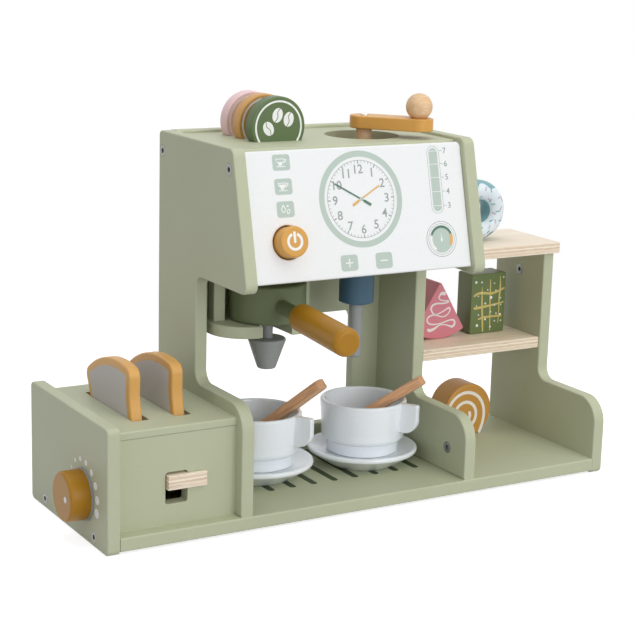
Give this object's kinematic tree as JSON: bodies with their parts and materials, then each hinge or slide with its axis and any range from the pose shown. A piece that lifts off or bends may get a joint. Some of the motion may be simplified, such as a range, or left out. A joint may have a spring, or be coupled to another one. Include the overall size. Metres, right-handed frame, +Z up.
{
  "type": "toy coffee maker",
  "caption": "Wooden toy coffee machine with crank grinder, swinging portafilter, coffee pads, cups, a pop-up toaster and cake shelves.",
  "frame": {"origin": "middle of the footprint of everything, on the surface that the set stands on", "axes": "+X to the right along the base, from the toaster to the cake shelves; +Y from the front to the back; +Z up"},
  "size_m": [0.4548, 0.21, 0.3074],
  "materials": {
    "sage_paint": "satin water-based paint on fibreboard",
    "white_paint": "satin white paint on fibreboard",
    "plywood": "clear lacquered birch plywood",
    "spoon_wood": "toasted, laser-cut plywood",
    "mustard_paint": "satin mustard paint",
    "olive_paint": "satin dark olive paint",
    "grey_paint": "satin grey paint",
    "blue_paint": "satin slate blue paint",
    "green_paint": "satin leaf green paint",
    "yellow_paint": "satin ochre paint",
    "pink_paint": "satin pale pink paint",
    "rose_paint": "satin rose paint",
    "cake_green_paint": "satin dark green paint",
    "caramel_paint": "satin caramel paint",
    "teal_paint": "satin teal paint",
    "toast_paint": "satin toast-coloured paint",
    "white_gloss": "smooth semi-gloss white lacquer",
    "raw_wood": "bare beech or fibreboard",
    "dark_steel": "darkened zinc-plated steel",
    "bright_steel": "zinc-plated steel"
  },
  "bodies": {
    "station": {"base_board": "sage_paint", "toaster_outer_side": "sage_paint", "machine_left_side": "sage_paint", "machine_right_side": "sage_paint", "shelf_outer_side": "sage_paint", "back_panel": "sage_paint", "machine_top_board": "sage_paint", "fascia": "white_paint", "head_floor": "sage_paint", "crank_bearing_rail": "raw_wood", "toaster_top_board": "sage_paint", "toaster_front_panel": "sage_paint", "toaster_back_panel": "sage_paint", "upper_shelf": "plywood", "middle_shelf": "plywood", "holder_plate": "sage_paint", "holder_post_left": "sage_paint", "holder_post_right": "sage_paint", "frother_body": "blue_paint", "frother_wand": "grey_paint", "button_block": "raw_wood", "button_spring": "bright_steel", "lift_guide_rods": "raw_wood", "lift_spring_front": "bright_steel", "lift_spring_back": "bright_steel", "machine_bolts": "dark_steel", "base_screws": "dark_steel", "short_bolts": "dark_steel"},
    "crank": {"crank_arm": "mustard_paint", "crank_post": "raw_wood", "crank_collars": "raw_wood", "crank_screw": "bright_steel", "crank_ball": "raw_wood"},
    "button": {"power_button": "mustard_paint"},
    "knob": {"toaster_knob": "mustard_paint", "knob_washer": "grey_paint", "knob_shaft": "raw_wood", "knob_collar": "raw_wood"},
    "lift": {"toast_lever": "plywood", "lift_plate": "plywood"},
    "slice_left": {"toast_left": "toast_paint"},
    "slice_right": {"toast_right": "toast_paint"},
    "spout": {"spout_stem": "grey_paint", "spout_cone": "grey_paint"},
    "portafilter": {"portafilter_basket": "olive_paint", "portafilter_neck": "olive_paint", "portafilter_handle": "mustard_paint"},
    "coffee_pad_green": {"pad_green": "green_paint"},
    "coffee_pad_yellow": {"pad_yellow": "yellow_paint"},
    "coffee_pad_pink": {"pad_pink": "pink_paint"},
    "saucer_l": {"saucer_left": "white_gloss"},
    "saucer_r": {"saucer_right": "white_gloss"},
    "cup_l": {"cup_left": "white_gloss"},
    "cup_r": {"cup_right": "white_gloss"},
    "spoon_l": {"spoon_left": "spoon_wood"},
    "spoon_r": {"spoon_right": "spoon_wood"},
    "ring_cake": {"donut": "teal_paint"},
    "wedge_cake": {"cake_wedge": "rose_paint"},
    "square_cake": {"cake_block": "cake_green_paint"},
    "roll_cake": {"cake_roll": "caramel_paint"}
  },
  "joints": [
    {"name": "crank_spin", "type": "hinge", "parent": "station", "child": "crank", "pos_m": [0.03905, 0.04601, 0.279], "axis": [0, 0, 1], "continuous": true},
    {"name": "button_press", "type": "slide", "parent": "station", "child": "button", "axis": [0, 0.9704, -0.2415], "range_m": [0, 0.005], "stiffness_N_per_m": 120, "springref_m": -0.003, "deforming": ["button_spring"]},
    {"name": "knob_turn", "type": "hinge", "parent": "station", "child": "knob", "pos_m": [-0.21095, 0.00451, 0.0335], "axis": [1, 0, 0], "continuous": true},
    {"name": "lift_press", "type": "slide", "parent": "station", "child": "lift", "axis": [0, 0, -1], "range_m": [0, 0.0104], "stiffness_N_per_m": 80, "springref_m": -0.03, "deforming": ["lift_spring_front", "lift_spring_back"]},
    {"name": "slice_left_lift", "type": "slide", "parent": "lift", "child": "slice_left", "axis": [0, 0.2079, 0.9781], "range_m": [0, 0.07]},
    {"name": "slice_right_lift", "type": "slide", "parent": "lift", "child": "slice_right", "axis": [0, 0.2079, 0.9781], "range_m": [0, 0.07]},
    {"name": "spout_slide", "type": "slide", "parent": "station", "child": "spout", "axis": [0, -1, 0], "range_m": [0, 0.075]},
    {"name": "portafilter_swing", "type": "hinge", "parent": "spout", "child": "portafilter", "pos_m": [-0.04455, 0.04201, 0.138], "axis": [0, 0, 1], "range_deg": [-43, 57]},
    {"name": "pad_green_lift", "type": "slide", "parent": "station", "child": "coffee_pad_green", "axis": [0, 0, 1], "range_m": [0, 0.035]},
    {"name": "pad_yellow_lift", "type": "slide", "parent": "station", "child": "coffee_pad_yellow", "axis": [0, 0, 1], "range_m": [0, 0.035]},
    {"name": "pad_pink_lift", "type": "slide", "parent": "station", "child": "coffee_pad_pink", "axis": [0, 0, 1], "range_m": [0, 0.035]},
    {"name": "saucer_l_slide", "type": "slide", "parent": "station", "child": "saucer_l", "axis": [0, -1, 0], "range_m": [0, 0.085]},
    {"name": "saucer_r_slide", "type": "slide", "parent": "station", "child": "saucer_r", "axis": [0, -1, 0], "range_m": [0, 0.085]},
    {"name": "cup_l_lift", "type": "slide", "parent": "saucer_l", "child": "cup_l", "axis": [0, 0, 1], "range_m": [0, 0.028]},
    {"name": "cup_r_lift", "type": "slide", "parent": "saucer_r", "child": "cup_r", "axis": [0, 0, 1], "range_m": [0, 0.028]},
    {"name": "spoon_l_draw", "type": "slide", "parent": "cup_l", "child": "spoon_l", "axis": [0.5464, -0.5369, 0.6428], "range_m": [0, 0.02]},
    {"name": "spoon_r_draw", "type": "slide", "parent": "cup_r", "child": "spoon_r", "axis": [0.8006, -0.3137, 0.5105], "range_m": [0, 0.02]},
    {"name": "ring_cake_slide", "type": "slide", "parent": "station", "child": "ring_cake", "axis": [0, -1, 0], "range_m": [0, 0.05]},
    {"name": "wedge_cake_slide", "type": "slide", "parent": "station", "child": "wedge_cake", "axis": [0, -1, 0], "range_m": [0, 0.06]},
    {"name": "square_cake_slide", "type": "slide", "parent": "station", "child": "square_cake", "axis": [0, -1, 0], "range_m": [0, 0.06]},
    {"name": "roll_cake_slide", "type": "slide", "parent": "station", "child": "roll_cake", "axis": [0, -1, 0], "range_m": [0, 0.06]}
  ]
}
